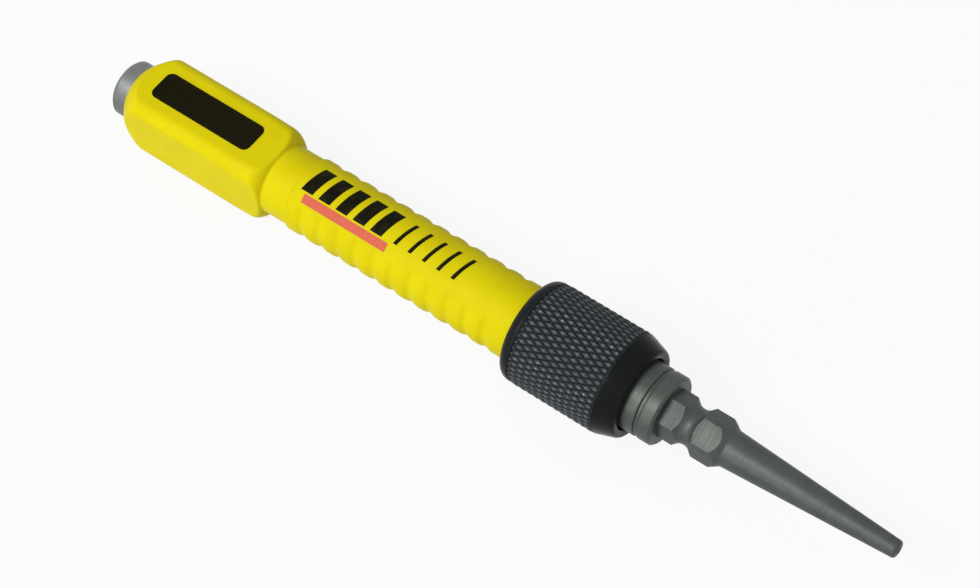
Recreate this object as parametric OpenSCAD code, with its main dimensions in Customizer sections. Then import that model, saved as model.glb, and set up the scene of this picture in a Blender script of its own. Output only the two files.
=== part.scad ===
// Nail setter with a quick-release chuck and a double-ended hexagonal bit.
// The X axis is the tool's axis, from the striking face at zero to the point of the bit.
// The flat of the head that carries the label plate faces +Z.

/* [Striking end] */
// Diameter of the steel striking end
cap_d = 10.7; // [10.3:0.1:12]
// Length of the striking end that stands out of the handle
cap_l = 3.4; // [2:0.1:8]
// Bevel round the striking face
cap_bevel = 0.7; // [0.3:0.1:1.8]

/* [Head of the handle] */
// Width of the head across its flats
head_w = 14.3; // [13.9:0.1:17]
// Radius of the head's four long edges
head_edge_r = 2.5; // [1.5:0.1:3.5]
// Length of the head, from the rear end of the dome to the shoulder
head_l = 33; // [24:0.5:60]
// Radius of curvature of the domed rear end
dome_r = 20; // [9:0.5:30]
// Length of the domed rear end
dome_l = 4; // [3.5:0.1:8]
// Flat lip of the dome round the striking end
dome_lip = 0.15; // [0.1:0.05:0.5]
// Radius of the rounded shoulder at the front of the head
shoulder_r = 3.4; // [3:0.1:5]

/* [Grip] */
// Diameter of the plain neck between head and grip
neck_d = 13.3; // [12.6:0.1:13.8]
// Length of the neck
neck_l = 5.4; // [3:0.1:12]
// Diameter of the sleeve that the grip is moulded on
sleeve_d = 12; // [11.6:0.1:12.2]
// Diameter over the ribs of the grip
grip_d = 14.1; // [13.6:0.1:14.3]
// Length of the grip
grip_l = 51.8; // [48:0.2:60]
// Number of furrows round the grip
furrow_count = 11; // [4:1:11]
// Distance from one furrow to the next, which leaves a rib between them
furrow_pitch = 4; // [3.2:0.1:4.2]
// Width of a furrow
furrow_w = 2.8; // [1.5:0.1:3]
// Depth of a furrow
furrow_depth = 0.36; // [0.1:0.02:0.5]
// Distance from the rear end of the grip to the middle of the first furrow
first_furrow = 3.6; // [2.5:0.1:5]
// Half the angle that the smooth printing panel takes up
panel_half_angle = 48; // [20:1:70]
// Radius of the round edges at both ends of the grip
grip_edge_r = 0.5; // [0.2:0.1:0.8]

/* [Shank and nose] */
// Diameter of the shank inside the handle
shank_d = 10; // [9.4:0.1:10.2]
// Diameter of the thicker front of the shank, inside the end of the grip
step_d = 11.4; // [11:0.1:11.6]
// Length of that thicker front
step_l = 10.4; // [6:0.2:14]
// Diameter of the nose that the collar slides on
nose_d = 13.1; // [12.9:0.1:13.3]
// Length of the nose
nose_l = 25.4; // [25:0.1:32]
// Bevel round the mouth of the nose
nose_bevel = 0.45; // [0.2:0.05:0.8]
// Distance from the mouth to the turned line that marks the end of the collar's travel
line_from_mouth = 2.9; // [1:0.1:2.9]
// Width of the turned line
line_w = 0.5; // [0.2:0.1:0.8]
// Depth of the turned line
line_depth = 0.4; // [0.2:0.05:0.6]

/* [Bit] */
// Size of the hexagon across its flats
hex_af = 8; // [7.8:0.05:8.1]
// Distance from the ball groove in front to the ball groove behind
groove_span = 24.35; // [23:0.05:26]
// Radius of the turned ball grooves
groove_r = 2.2; // [2:0.05:2.4]
// Diameter left at the bottom of the ball grooves
groove_root_d = 7; // [6.8:0.05:7.2]
// Length of the hexagon in front of each groove, up to its bevel
hex_end_l = 3.45; // [2:0.05:5]
// Length of the bevel between hexagon and point
hex_bevel_l = 1.75; // [1:0.05:2.5]
// Diameter of the tapered point where it starts
taper_start_d = 6.9; // [6:0.1:7]
// Diameter of the tip
tip_d = 3.2; // [1.6:0.1:4]
// Length of the tapered point
taper_l = 33; // [20:0.5:36]
// Radius of the round edge of the tip
tip_edge_r = 0.6; // [0.2:0.05:0.7]
// Diameter of the hollow in the tip that keeps it on a nail
cup_d = 1.5; // [0.6:0.1:2]
// Depth of that hollow
cup_depth = 0.35; // [0.1:0.05:0.5]

/* [Collar] */
// Diameter of the knurled collar over the points of its knurl
collar_d = 19.5; // [19:0.1:21]
// Length of the knurled collar without its front ring
collar_l = 19.9; // [19.7:0.1:22]
// Length of the front ring that shows
ring_l = 3.8; // [3.2:0.1:5]
// Width of the front ring's flat front face
ring_face_w = 1.3; // [0.8:0.05:1.8]
// Length of the collar behind its stop washer, over the end of the grip
skirt_l = 4.2; // [3:0.1:6]
// Radius of the round rear edge of the collar
rear_edge_r = 1.95; // [1:0.05:2]
// Number of knurl grooves of each hand
knurl_count = 60; // [30:2:64]
// Number of diamonds along the collar
knurl_rows = 12; // [6:1:13]
// Depth of the knurl
knurl_depth = 0.34; // [0.1:0.02:0.4]

/* [Lock] */
// Diameter of the locking balls
ball_d = 3.5; // [3.2:0.05:3.6]
// Travel of the collar from locked to released
travel = 2.4; // [1.5:0.1:2.5]
// Distance that each ball moves outward while the collar travels
ball_lift = 0.5; // [0.3:0.05:0.5]
// Wire diameter of the collar spring
wire_d = 0.8; // [0.5:0.05:0.9]
// Number of turns of the collar spring
spring_turns = 5; // [3:0.5:5]
// Thickness of the stop washer
stop_washer_t = 0.8; // [0.5:0.1:1.2]
// Thickness of the thrust washer behind the spring
thrust_washer_t = 0.5; // [0.3:0.1:0.8]
// Thickness of the washer in front of the spring
spring_washer_t = 0.5; // [0.3:0.1:0.6]
// Thickness of the retaining ring
retaining_ring_t = 0.8; // [0.5:0.1:0.9]

/* [Clearances] */
// Radial gap of pieces that are pressed or moulded on each other
fit_gap = 0.03; // [0.01:0.01:0.04]
// Radial gap of pieces that slide on each other
run_gap = 0.1; // [0.05:0.01:0.1]
// Radial gap of pieces that pass each other without touching
free_gap = 0.3; // [0.2:0.05:0.3]
// Gap round a locking ball in its hole, in its groove and under its ramp
ball_gap = 0.05; // [0.02:0.01:0.08]
// Gap between a flat of the bit and the wall of its socket
socket_gap = 0.08; // [0.04:0.01:0.12]

/* [Hidden] */

$fn = 96;

// Overrun of every cut past the surface that it cuts
over = 0.5;

// Half sizes
cap_r = cap_d / 2;
shank_r = shank_d / 2;
step_r = step_d / 2;
nose_r = nose_d / 2;
neck_r = neck_d / 2;
sleeve_r = sleeve_d / 2;
grip_r = grip_d / 2;
collar_r = collar_d / 2;
ball_r = ball_d / 2;
hex_r = hex_af / 2 / cos(30);

// Stations along the axis, from the striking face
head_x = cap_l;
neck_x = head_x + head_l;
grip_x = neck_x + neck_l;
grip_end_x = grip_x + grip_l;
nose_x = grip_end_x + stop_washer_t;
step_x = nose_x - step_l;
mouth_x = nose_x + nose_l;

// The bit stands out of the mouth so far that its front groove is wholly in view
mouth_to_groove = 4.75;
front_groove_x = mouth_x + mouth_to_groove;
ball_x = front_groove_x - groove_span;
bit_mid_x = (front_groove_x + ball_x) / 2;
groove_centre_r = groove_root_d / 2 + groove_r;
groove_half_w = sqrt(pow(groove_r, 2) - pow(groove_centre_r - hex_r, 2));
hex_end_x = front_groove_x + groove_half_w + hex_end_l;
taper_x = hex_end_x + hex_bevel_l;
tip_x = taper_x + taper_l;

// The socket: a hexagonal hole down to the seat, then two round bores for the spare point
spare_bore_r = taper_start_d / 2 + free_gap;
seat_slope = (hex_r - taper_start_d / 2) / hex_bevel_l;
seat_x = 2 * bit_mid_x - taper_x + (spare_bore_r - taper_start_d / 2) / seat_slope - fit_gap;
spare_tip_x = 2 * bit_mid_x - tip_x;
taper_slope = (taper_start_d - tip_d) / 2 / taper_l;
spare_share = 0.58;
bore_step_x = spare_tip_x + spare_share * taper_l;
narrow_bore_r = tip_d / 2 + taper_slope * spare_share * taper_l + free_gap;
bore_end_x = spare_tip_x - tip_d;

// The collar: it rests against the stop washer and slides forward
collar_x = nose_x - skirt_l;
collar_end_x = collar_x + collar_l;
ring_end_x = collar_end_x + ring_l;
land_r = nose_r + run_gap;
skirt_r = grip_r + 1.5 * free_gap;
ring_lip_r = nose_r + free_gap;
rear_land_l = 1.8;

// The ramp that holds the balls in: a cone that narrows towards the front
ramp_slope = ball_lift / travel;
ball_rest_r = groove_root_d / 2 + ball_gap + ball_r;
ramp_mid_r = ball_rest_r + (ball_r + ball_gap) * sqrt(1 + pow(ramp_slope, 2));
ramp_start_x = nose_x + rear_land_l;
ramp_end_x = ball_x + ball_r;
ramp_start_r = ramp_mid_r + ramp_slope * (ball_x - ramp_start_x);
ramp_end_r = ramp_mid_r - ramp_slope * (ramp_end_x - ball_x);
front_land_l = 0.6;

// The spring chamber between the collar's front land and its front ring
chamber_x = ramp_end_x + front_land_l;
ring_lip_l = 2;
ring_lip_x = ring_end_x - ring_lip_l;
retaining_ring_x = ring_lip_x - free_gap / 2 - retaining_ring_t;
spring_washer_x = retaining_ring_x - spring_washer_t;
spring_x = chamber_x + thrust_washer_t;
spring_l = spring_washer_x - spring_x;
spring_mid_r = nose_r + free_gap / 2 + wire_d / 2;
spring_outer_r = spring_mid_r + wire_d / 2;
chamber_r = spring_outer_r + free_gap;
washer_r = spring_outer_r;
ring_groove_r = nose_r - wire_d / 2;
retaining_ring_r = washer_r;
retaining_ring_gap_w = 2.2;

// The front ring's spigot is pressed into the collar
spigot_wall = 0.6;
spigot_l = 2.4;
spigot_x = collar_end_x - spigot_l;
spigot_r = chamber_r + spigot_wall;

// The knurl: points and valleys on a grid of half steps, between two plain rims
knurl_root_r = collar_r - knurl_depth;
rim_w = 0.3;
rim_r = collar_r - knurl_depth / 3;
knurl_x = collar_x + rear_edge_r + rim_w;
knurl_end_x = collar_end_x - rim_w;
knurl_overlap = 0.1;
knurl_bed_r = knurl_root_r - knurl_overlap * 2;
knurl_inner_r = knurl_bed_r - knurl_overlap * 2;
knurl_sides = 2 * knurl_count;
knurl_rings = 2 * knurl_rows;

// Places of the three balls: they sit on every other flat of the hexagon
ball_turns = [90, 210, 330];

// Smoothness of the spring's wire
wire_sides = 8;
wire_steps_per_turn = 24;

// Solid of revolution round the tool's axis, from an outline in [radius, station]
module turned(points) {
    rotate([0, 90, 0])
        rotate_extrude()
            polygon(points);
}

// Solid of revolution round the tool's axis, from 2D children drawn as radius against station
module turned_shape() {
    rotate([0, 90, 0])
        rotate_extrude()
            children();
}

// Cylinder along the tool's axis between two stations
module rod(x1, x2, r) {
    translate([x1, 0, 0])
        rotate([0, 90, 0])
            cylinder(h = x2 - x1, r = r);
}

// Flat ring round the axis
module washer(x, t, inner_r, outer_r) {
    turned([[inner_r, x], [outer_r, x], [outer_r, x + t], [inner_r, x + t]]);
}

// Hexagonal bar along the axis, with an edge of the hexagon at the top
module hex_bar(x1, x2, r) {
    translate([x1, 0, 0])
        rotate([0, 90, 0])
            cylinder(h = x2 - x1, r = r, $fn = 6);
}

// Centre of the circle of radius r through points a and b, on the side nearer the axis
function arc_centre(a, b, r) =
    let (
        mid = (a + b) / 2,
        chord = b - a,
        half = norm(chord) / 2,
        reach = sqrt(pow(r, 2) - pow(half, 2))
    )
    mid + reach * [-chord[1], chord[0]] / norm(chord);

// Square bar with four rounded long edges
module head_bar() {
    reach = head_w / 2 - head_edge_r;
    translate([head_x, 0, 0])
        rotate([0, 90, 0])
            linear_extrude(height = head_l) {
                square([head_w, 2 * reach], center = true);
                square([2 * reach, head_w], center = true);
                for (y = [-reach, reach], z = [-reach, reach])
                    translate([z, y])
                        circle(r = head_edge_r);
            }
}

// Turned envelope of the head: dome behind, rounded shoulder in front
module head_envelope() {
    corner_r = (head_w / 2 - head_edge_r) * sqrt(2) + head_edge_r;
    dome_start = [cap_r + dome_lip, head_x];
    dome_end = [corner_r, head_x + dome_l];
    dome_centre = arc_centre(dome_start, dome_end, dome_r);
    shoulder_x = neck_x - shoulder_r;
    turned_shape() {
        intersection() {
            translate([0, head_x])
                square([corner_r, dome_l]);
            translate(dome_centre)
                circle(r = dome_r);
        }
        translate([0, head_x + dome_l])
            square([corner_r, shoulder_x - head_x - dome_l]);
        translate([0, shoulder_x])
            square([corner_r - shoulder_r, shoulder_r]);
        intersection() {
            translate([corner_r - shoulder_r, shoulder_x])
                circle(r = shoulder_r);
            translate([0, shoulder_x])
                square([corner_r, shoulder_r]);
        }
    }
}

// Steel shank: striking end, shaft, stepped front and nose with the hexagonal socket
module shank() {
    line_x = mouth_x - line_from_mouth - line_w;
    groove_w = retaining_ring_t + fit_gap;
    color("lightslategray")
        difference() {
            turned([
                [0, 0],
                [cap_r - cap_bevel, 0],
                [cap_r, cap_bevel],
                [cap_r, cap_l],
                [shank_r, cap_l],
                [shank_r, step_x],
                [step_r, step_x],
                [step_r, nose_x],
                [nose_r, nose_x],
                [nose_r, retaining_ring_x],
                [ring_groove_r, retaining_ring_x],
                [ring_groove_r, retaining_ring_x + groove_w],
                [nose_r, retaining_ring_x + groove_w],
                [nose_r, line_x],
                [nose_r - line_depth, line_x],
                [nose_r - line_depth, line_x + line_w],
                [nose_r, line_x + line_w],
                [nose_r, mouth_x - nose_bevel],
                [nose_r - nose_bevel, mouth_x],
                [0, mouth_x]
            ]);
            hex_bar(seat_x, mouth_x + over, hex_r + socket_gap / cos(30));
            rod(bore_step_x, seat_x + over, spare_bore_r);
            rod(bore_end_x, bore_step_x + over, narrow_bore_r);
            for (turn = ball_turns)
                rotate([turn, 0, 0])
                    translate([ball_x, 0, hex_af / 4])
                        cylinder(h = nose_r, r = ball_r + ball_gap);
        }
}

// Hard plastic core of the handle: square head, neck and the sleeve inside the grip
module handle_core() {
    color("gold")
        difference() {
            union() {
                intersection() {
                    head_bar();
                    head_envelope();
                }
                rod(neck_x - shoulder_r, grip_x, neck_r);
                rod(grip_x - over, step_x, sleeve_r);
            }
            rod(head_x - over, step_x + over, shank_r + fit_gap);
        }
}

// Three-cornered bar that holds all within an angle of the top, along the ribbed stretch
module panel_wedge(x1, x2) {
    reach = grip_d;
    side = reach * sin(panel_half_angle);
    rise = reach * cos(panel_half_angle);
    translate([x1, 0, 0])
        rotate([90, 0, 90])
            linear_extrude(height = x2 - x1)
                polygon([[0, 0], [side, rise], [side, reach], [-side, reach], [-side, rise]]);
}

// Moulded grip: furrows run all round it, apart from the smooth printing panel on top
module grip() {
    furrow_r = (pow(furrow_w / 2, 2) + pow(furrow_depth, 2)) / (2 * furrow_depth);
    furrow_x = grip_x + first_furrow;
    last_furrow_x = furrow_x + (furrow_count - 1) * furrow_pitch;
    color("yellow")
        difference() {
            turned([
                [grip_r - grip_edge_r, grip_x],
                [grip_r, grip_x + grip_edge_r],
                [grip_r, grip_end_x - grip_edge_r],
                [grip_r - grip_edge_r, grip_end_x],
                [step_r + fit_gap, grip_end_x],
                [step_r + fit_gap, step_x],
                [sleeve_r + fit_gap, step_x],
                [sleeve_r + fit_gap, grip_x]
            ]);
            difference() {
                turned_shape()
                    for (i = [0 : furrow_count - 1])
                        translate([grip_r - furrow_depth + furrow_r, furrow_x + i * furrow_pitch])
                            circle(r = furrow_r);
                panel_wedge(furrow_x - furrow_pitch, last_furrow_x + furrow_pitch);
            }
        }
}

// Washer held between the handle and the nose: the collar's stop at rest
module stop_washer() {
    color("dimgray")
        washer(grip_end_x, stop_washer_t, step_r + fit_gap, skirt_r - free_gap);
}

// Turned envelope of one half of the bit, from the middle of the hexagon to the tip
module bit_half_envelope() {
    tip_r = tip_d / 2;
    turned([
        [0, bit_mid_x - over],
        [hex_r, bit_mid_x - over],
        [hex_r, hex_end_x],
        [taper_start_d / 2, taper_x],
        [tip_r, tip_x - tip_edge_r],
        [tip_r - tip_edge_r * (1 - cos(45)), tip_x - tip_edge_r * (1 - sin(45))],
        [tip_r - tip_edge_r, tip_x],
        [0, tip_x]
    ]);
}

// One half of the double-ended bit
module bit_half() {
    cup_sphere_r = (pow(cup_d / 2, 2) + pow(cup_depth, 2)) / (2 * cup_depth);
    difference() {
        intersection() {
            bit_half_envelope();
            union() {
                hex_bar(bit_mid_x - over, taper_x, hex_r);
                rod(hex_end_x, tip_x + over, taper_start_d / 2);
            }
        }
        turned_shape()
            translate([groove_centre_r, front_groove_x])
                circle(r = groove_r);
        translate([tip_x - cup_depth + cup_sphere_r, 0, 0])
            sphere(r = cup_sphere_r);
    }
}

// Double-ended bit: the same half twice, mirrored in the middle of the hexagon
module nail_bit() {
    color("slategray")
        union() {
            bit_half();
            translate([2 * bit_mid_x, 0, 0])
                mirror([1, 0, 0])
                    bit_half();
        }
}

// Radius of the knurl at a grid point: the two end rings run out in the valleys
function knurl_r(side, ring) =
    ring == 0 || ring == knurl_rings || (side + ring) % 2 == 0 ? knurl_root_r : collar_r;

// Station of a ring of the knurl's grid
function knurl_station(ring) =
    knurl_x - knurl_overlap + (knurl_end_x - knurl_x + 2 * knurl_overlap) * ring / knurl_rings;

// Point on the tool's surface at a station, a radius and a turn round the axis
function around(x, r, turn) = [x, -r * sin(turn), r * cos(turn)];

// Number of a grid point in the knurl's list of points
function grid(side, ring) = ring * knurl_sides + (side + knurl_sides) % knurl_sides;

// Band of diamond points: four faces rise to each point of the grid
module knurl_band() {
    step = 360 / knurl_sides;
    outer = [
        for (ring = [0 : knurl_rings], side = [0 : knurl_sides - 1])
            around(knurl_station(ring), knurl_r(side, ring), side * step)
    ];
    inner = [
        for (ring = [0, knurl_rings], side = [0 : knurl_sides - 1])
            around(knurl_station(ring), knurl_inner_r, side * step)
    ];
    inner_rear = len(outer);
    inner_front = inner_rear + knurl_sides;
    diamonds = [
        for (ring = [0 : knurl_rings], side = [0 : knurl_sides - 1])
            if ((side + ring) % 2 == 1)
                each concat(
                    ring < knurl_rings ? [
                        [grid(side, ring), grid(side, ring + 1), grid(side + 1, ring)],
                        [grid(side, ring), grid(side - 1, ring), grid(side, ring + 1)]
                    ] : [],
                    ring > 0 ? [
                        [grid(side, ring), grid(side + 1, ring), grid(side, ring - 1)],
                        [grid(side, ring), grid(side, ring - 1), grid(side - 1, ring)]
                    ] : []
                )
    ];
    walls = [
        for (side = [0 : knurl_sides - 1])
            let (next = (side + 1) % knurl_sides)
            each [
                [inner_rear + side, inner_rear + next, inner_front + next, inner_front + side],
                [grid(side, 0), grid(next, 0), inner_rear + next, inner_rear + side],
                [
                    grid(next, knurl_rings), grid(side, knurl_rings),
                    inner_front + side, inner_front + next
                ]
            ]
    ];
    polyhedron(points = concat(outer, inner), faces = concat(diamonds, walls), convexity = 4);
}

// Knurled collar: skirt, rear land, ball ramp, front land and spring chamber
module collar() {
    rear_r = collar_r - rear_edge_r;
    color("darkslategray")
        union() {
            turned_shape()
                difference() {
                    union() {
                        polygon([
                            [0, collar_x],
                            [rear_r, collar_x],
                            [rear_r, collar_x + rear_edge_r],
                            [rim_r, collar_x + rear_edge_r],
                            [rim_r, knurl_x],
                            [knurl_bed_r, knurl_x],
                            [knurl_bed_r, knurl_end_x],
                            [rim_r, knurl_end_x],
                            [rim_r, collar_end_x],
                            [0, collar_end_x]
                        ]);
                        intersection() {
                            translate([rim_r - rear_edge_r, collar_x + rear_edge_r])
                                circle(r = rear_edge_r);
                            translate([0, collar_x])
                                square([collar_r, rear_edge_r]);
                        }
                    }
                    polygon([
                        [0, collar_x - over],
                        [skirt_r, collar_x - over],
                        [skirt_r, nose_x],
                        [land_r, nose_x],
                        [land_r, ramp_start_x],
                        [ramp_start_r, ramp_start_x],
                        [ramp_end_r, ramp_end_x],
                        [land_r, ramp_end_x],
                        [land_r, chamber_x],
                        [chamber_r, chamber_x],
                        [chamber_r, spigot_x],
                        [spigot_r, spigot_x],
                        [spigot_r, collar_end_x + over],
                        [0, collar_end_x + over]
                    ]);
                }
            knurl_band();
        }
}

// Front ring, pressed into the collar: it closes the spring chamber
module front_ring() {
    ring_edge = 0.35;
    ring_front_r = ring_lip_r + ring_face_w + ring_edge;
    color("darkslategray")
        turned([
            [chamber_r, spigot_x],
            [spigot_r - fit_gap, spigot_x],
            [spigot_r - fit_gap, collar_end_x],
            [rim_r, collar_end_x],
            [ring_front_r, ring_end_x - ring_edge],
            [ring_front_r - ring_edge, ring_end_x],
            [ring_lip_r, ring_end_x],
            [ring_lip_r, ring_lip_x],
            [chamber_r, ring_lip_x]
        ]);
}

// Washer that the spring pushes on: the collar turns against it
module thrust_washer() {
    color("silver")
        washer(chamber_x, thrust_washer_t, land_r, washer_r);
}

// Wire of the spring as one unbroken tube, with flat closed ends
module collar_spring() {
    steps = spring_turns * wire_steps_per_turn;
    start_x = spring_x + wire_d / 2;
    rise = spring_l - wire_d;
    points = [
        for (i = [0 : steps], j = [0 : wire_sides - 1])
            let (
                side_turn = 360 * j / wire_sides,
                x = start_x + rise * i / steps,
                r = spring_mid_r + wire_d / 2 * cos(side_turn)
            )
            around(x + wire_d / 2 * sin(side_turn), r, 360 * spring_turns * i / steps)
    ];
    sides = [
        for (i = [0 : steps - 1], j = [0 : wire_sides - 1])
            let (
                next = (j + 1) % wire_sides,
                a = i * wire_sides + j,
                b = i * wire_sides + next
            )
            each [[a, b, b + wire_sides], [a, b + wire_sides, a + wire_sides]]
    ];
    start_cap = [[for (j = [wire_sides - 1 : -1 : 0]) j]];
    end_cap = [[for (j = [0 : wire_sides - 1]) steps * wire_sides + j]];
    color("silver")
        polyhedron(points = points, faces = concat(sides, start_cap, end_cap), convexity = 6);
}

// Washer between the spring and the retaining ring
module spring_washer() {
    color("silver")
        washer(spring_washer_x, spring_washer_t, nose_r + fit_gap, washer_r);
}

// Open retaining ring that snaps into the groove of the nose
module retaining_ring() {
    color("dimgray")
        difference() {
            washer(retaining_ring_x, retaining_ring_t, ring_groove_r + fit_gap, retaining_ring_r);
            translate([retaining_ring_x - over, -retaining_ring_gap_w / 2, 0])
                cube([retaining_ring_t + 2 * over, retaining_ring_gap_w, retaining_ring_r + over]);
        }
}

// Steel ball in its hole in the nose, turned round the axis from the top
module locking_ball(turn) {
    color("gainsboro")
        rotate([turn, 0, 0])
            translate([ball_x, 0, ball_rest_r])
                sphere(r = ball_r);
}

shank();
handle_core();
grip();
stop_washer();
nail_bit();
collar();
front_ring();
thrust_washer();
collar_spring();
spring_washer();
retaining_ring();
locking_ball(ball_turns[0]);  // locking_ball_right
locking_ball(ball_turns[2]);  // locking_ball_upper_left
locking_ball(ball_turns[1]);  // locking_ball_lower_left
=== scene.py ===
"""Looks of a nail setter with a quick-release chuck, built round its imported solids.

Lengths are in millimetres, but the camera's, the lamps' and the floor's size are in metres.
A station is a distance along the tool's axis from the striking face.
"""

import logging
import math
from collections.abc import Callable, Sequence
from dataclasses import dataclass, field
from enum import Enum
from functools import cached_property

import bpy
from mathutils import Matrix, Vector


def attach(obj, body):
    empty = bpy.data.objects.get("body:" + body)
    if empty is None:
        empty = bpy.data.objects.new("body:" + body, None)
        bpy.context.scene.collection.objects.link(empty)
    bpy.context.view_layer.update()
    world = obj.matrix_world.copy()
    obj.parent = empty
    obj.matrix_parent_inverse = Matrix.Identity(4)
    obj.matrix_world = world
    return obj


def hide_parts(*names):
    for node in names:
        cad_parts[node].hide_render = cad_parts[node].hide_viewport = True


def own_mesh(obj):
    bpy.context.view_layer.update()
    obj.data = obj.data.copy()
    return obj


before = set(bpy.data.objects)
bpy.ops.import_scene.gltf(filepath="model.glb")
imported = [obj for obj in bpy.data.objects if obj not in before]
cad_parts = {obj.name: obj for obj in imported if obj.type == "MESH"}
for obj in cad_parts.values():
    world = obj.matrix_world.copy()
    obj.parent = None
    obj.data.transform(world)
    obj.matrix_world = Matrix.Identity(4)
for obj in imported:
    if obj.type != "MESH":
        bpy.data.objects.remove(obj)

LOG = logging.getLogger("nail_setter")

MM = 0.001
TINY = 0.001
WELD = 1.5e-6

Triple = tuple[float, float, float]
Colour = Triple
Outline = list[tuple[float, float]]
Piece = bpy.types.Object
Node = bpy.types.Node
Socket = bpy.types.NodeSocket
Material = bpy.types.Material


class Joining(Enum):
    """Ways to join two solids."""

    CUT = "DIFFERENCE"
    COMMON = "INTERSECT"


class Body(Enum):
    """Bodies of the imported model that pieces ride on."""

    TOOL = "tool"
    COLLAR = "collar"


def leave() -> None:
    """Go from edit mode back to object mode."""
    bpy.ops.object.mode_set(mode="OBJECT")


def lone() -> None:
    """Leave edit mode and deselect everything."""
    active = bpy.context.view_layer.objects.active
    if active and active.mode != "OBJECT":
        leave()
    bpy.ops.object.select_all(action="DESELECT")


def pick(piece: Piece) -> None:
    """Make a piece the only selected and active object.

    Args:
        piece: the object to pick.
    """
    lone()
    piece.select_set(True)
    bpy.context.view_layer.objects.active = piece


def edit(piece: Piece, kind: str = "VERT", whole: bool = False) -> None:
    """Open a piece in edit mode with all of it selected or nothing.

    Args:
        piece: the object to open.
        kind: VERT, EDGE or FACE, the kind of parts to pick.
        whole: whether all of it is selected.
    """
    pick(piece)
    bpy.ops.object.mode_set(mode="EDIT")
    bpy.ops.mesh.select_mode(type=kind)
    bpy.ops.mesh.select_all(action="SELECT" if whole else "DESELECT")


def mark(piece: Piece, kind: str, test: Callable[[object], bool]) -> None:
    """Open a piece in edit mode with the edges or faces selected that pass a test.

    Args:
        piece: the object to open.
        kind: EDGE or FACE.
        test: tells whether one edge or face is selected.
    """
    edit(piece, kind)
    leave()
    for part in piece.data.edges if kind == "EDGE" else piece.data.polygons:
        part.select = test(part)
    bpy.ops.object.mode_set(mode="EDIT")


def settle(piece: Piece, name: str) -> Piece:
    """Name a piece and put its place into its mesh.

    Args:
        piece: the object to settle.
        name: its new name.

    Returns:
        The same object, at the origin, unturned and unscaled.
    """
    pick(piece)
    bpy.ops.object.transform_apply(location=True, rotation=True, scale=True)
    piece.name = piece.data.name = name
    return piece


def add_modifier(piece: Piece, kind: str, **settings: object) -> None:
    """Add a modifier with its settings and apply it.

    Args:
        piece: the object to change.
        kind: Blender's name of the modifier's type.
        settings: the modifier's properties.
    """
    pick(piece)
    step = piece.modifiers.new(kind.lower(), kind)
    for key, value in settings.items():
        setattr(step, key, value)
    bpy.ops.object.modifier_apply(modifier=step.name)


def join_solid(piece: Piece, tool: Piece, how: Joining) -> None:
    """Cut a piece with a tool, or keep what they share, and delete the tool.

    Args:
        piece: the object that stays.
        tool: the object that is used up.
        how: the kind of joining.
    """
    add_modifier(piece, "BOOLEAN", object=tool, operation=how.value, solver="EXACT")
    bpy.data.objects.remove(tool)


def soften(piece: Piece, width: float, angle: float) -> None:
    """Round a piece's edges.

    Args:
        piece: the object to change.
        width: width of the rounding.
        angle: only edges sharper than this, in degrees, are rounded.
    """
    add_modifier(
        piece, "BEVEL", width=width * MM, segments=2, use_clamp_overlap=True,
        limit_method="ANGLE", angle_limit=math.radians(angle),
    )


def weld(piece: Piece) -> None:
    """Merge points that lie together and drop faces and edges of no size.

    Args:
        piece: the object to weld.
    """
    edit(piece, whole=True)
    bpy.ops.mesh.remove_doubles(threshold=WELD)
    bpy.ops.mesh.dissolve_degenerate(threshold=WELD)
    leave()


def shade(piece: Piece, angle: float) -> None:
    """Shade a piece smooth, apart from edges sharper than an angle in degrees."""
    pick(piece)
    bpy.ops.object.shade_smooth_by_angle(angle=math.radians(angle))


def rounded(corners: Sequence[Triple], parts: int) -> Outline:
    """Round the corners of an outline.

    Args:
        corners: station, radius and rounding of each corner.
        parts: number of straight parts in each rounding.

    Returns:
        The points of the rounded outline, as station and radius.
    """
    points: Outline = []
    for before, here, after in zip([corners[0], *corners], corners, [*corners[1:], corners[-1]]):
        spot, size = Vector(here[:2]), here[2]
        back, ahead = Vector(before[:2]) - spot, Vector(after[:2]) - spot
        if size <= 0 or back.length == 0 or ahead.length == 0:
            points.append(here[:2])
            continue
        half = back.angle(ahead) / 2
        inward = (back.normalized() + ahead.normalized()).normalized()
        middle = spot + inward * size / math.sin(half)
        start = spot + back.normalized() * size / math.tan(half) - middle
        turn = math.pi - 2 * half
        side = 1 if start.x * (spot - middle).y - start.y * (spot - middle).x > 0 else -1
        for i in range(parts + 1):
            a = side * turn * i / parts
            x = start.x * math.cos(a) - start.y * math.sin(a)
            y = start.x * math.sin(a) + start.y * math.cos(a)
            points.append((middle.x + x, middle.y + y))
    return points


def arc(centre: tuple[float, float], size: float, start: float, end: float, parts: int) -> Outline:
    """Points of a round part of an outline.

    Args:
        centre: station and radius of the arc's centre.
        size: the arc's own radius.
        start: first angle in degrees, from the tool's axis direction towards a larger radius.
        end: last angle.
        parts: number of straight parts.

    Returns:
        The points, as station and radius.
    """
    turns = [math.radians(start + (end - start) * i / parts) for i in range(parts + 1)]
    return [(centre[0] + size * math.cos(a), centre[1] + size * math.sin(a)) for a in turns]


def point(place: Vector) -> Piece:
    """Start a piece as one selected vertex.

    Args:
        place: the vertex's place in millimetres.

    Returns:
        The object, open in edit mode.
    """
    lone()
    bpy.ops.mesh.primitive_plane_add(size=MM, location=(0, 0, 0))
    piece = bpy.context.object
    edit(piece, whole=True)
    bpy.ops.mesh.merge(type="CENTER")
    bpy.ops.transform.translate(value=place * MM)
    return piece


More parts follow.
